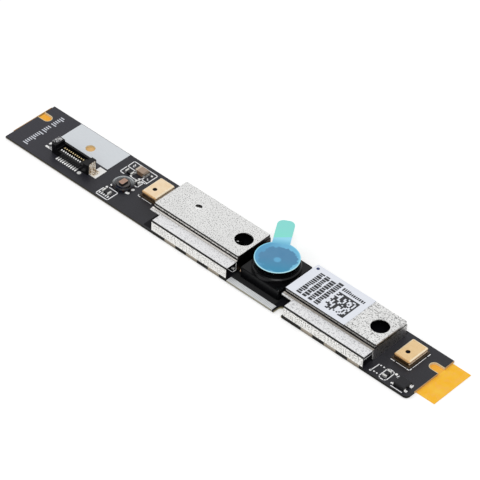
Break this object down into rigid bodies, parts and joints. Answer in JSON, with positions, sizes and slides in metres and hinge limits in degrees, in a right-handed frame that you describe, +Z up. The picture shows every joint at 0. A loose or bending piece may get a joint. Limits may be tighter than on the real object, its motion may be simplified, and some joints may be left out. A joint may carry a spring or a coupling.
{
  "type": "camera module",
  "caption": "Long narrow circuit board with a film-covered camera between two stepped metal shields, gold-coloured microphones, a low multi-way connector and yellow mounting tape",
  "frame": {"origin": "centre of the board's outline, on the underside of the mounting tape", "axes": "+X along the board from the connector end to the bare tape end, +Y across it from the edge with the ground strip to the edge the pull tab points over, +Z up, the way the camera looks"},
  "size_m": [0.0963, 0.0152, 0.0047],
  "materials": {
    "circuit_board": "satin black solder mask",
    "edge_plating": "dull tin plating",
    "mounting_tape": "yellow film tape",
    "white_panel": "matt white print",
    "ground_strip": "tinned strip",
    "connector_contacts": "plated contacts",
    "connector_housing": "black moulded plastic",
    "connector_left_fitting": "tin plate",
    "connector_right_fitting": "tin plate",
    "solder_pads": "bright solder",
    "capacitor_body": "fired ceramic",
    "chip_bodies": "black glaze",
    "chip_terminals": "bright solder",
    "inductor_flange": "grey ferrite",
    "inductor_winding": "dark enamelled wire",
    "inductor_core": "dark ferrite, brown top",
    "left_microphone_base": "laminate edge",
    "right_microphone_base": "laminate edge",
    "left_microphone_can": "gold-coloured plating",
    "right_microphone_can": "gold-coloured plating",
    "microphone_dies": "silicon",
    "left_shield_frame": "matt tin plate",
    "right_shield_frame": "matt tin plate",
    "left_shield_cover": "matt tin plate",
    "right_shield_cover": "matt tin plate",
    "printed_label": "coated white label",
    "lens_holder": "black moulded plastic",
    "lens_barrel": "black moulded plastic",
    "front_lens": "clear",
    "rear_lens": "clear",
    "lens_spacer": "black film ring",
    "infrared_filter": "coated",
    "image_sensor": "silicon",
    "protective_film": "translucent blue film",
    "pull_tab_backing": "mint backing",
    "image_processor": "moulded package",
    "crystal_can": "metal lid",
    "memory_chip": "moulded package",
    "power_regulator": "moulded package",
    "bypass_capacitors": "fired ceramic",
    "transistor_body": "moulded package",
    "transistor_leads": "bright solder"
  },
  "bodies": {
    "root": {"circuit_board": "circuit_board", "edge_plating": "edge_plating", "mounting_tape": "mounting_tape", "white_panel": "white_panel", "ground_strip": "ground_strip", "connector_contacts": "connector_contacts", "connector_housing": "connector_housing", "connector_left_fitting": "connector_left_fitting", "connector_right_fitting": "connector_right_fitting", "solder_pads": "solder_pads", "capacitor_body": "capacitor_body", "chip_bodies": "chip_bodies", "chip_terminals": "chip_terminals", "inductor_flange": "inductor_flange", "inductor_winding": "inductor_winding", "inductor_core": "inductor_core", "left_microphone_base": "left_microphone_base", "right_microphone_base": "right_microphone_base", "left_microphone_can": "left_microphone_can", "right_microphone_can": "right_microphone_can", "microphone_dies": "microphone_dies", "left_shield_frame": "left_shield_frame", "right_shield_frame": "right_shield_frame", "left_shield_cover": "left_shield_cover", "right_shield_cover": "right_shield_cover", "printed_label": "printed_label", "lens_holder": "lens_holder", "lens_barrel": "lens_barrel", "front_lens": "front_lens", "rear_lens": "rear_lens", "lens_spacer": "lens_spacer", "infrared_filter": "infrared_filter", "image_sensor": "image_sensor", "protective_film": "protective_film", "pull_tab_backing": "pull_tab_backing", "image_processor": "image_processor", "crystal_can": "crystal_can", "memory_chip": "memory_chip", "power_regulator": "power_regulator", "bypass_capacitors": "bypass_capacitors", "transistor_body": "transistor_body", "transistor_leads": "transistor_leads"}
  },
  "joints": []
}
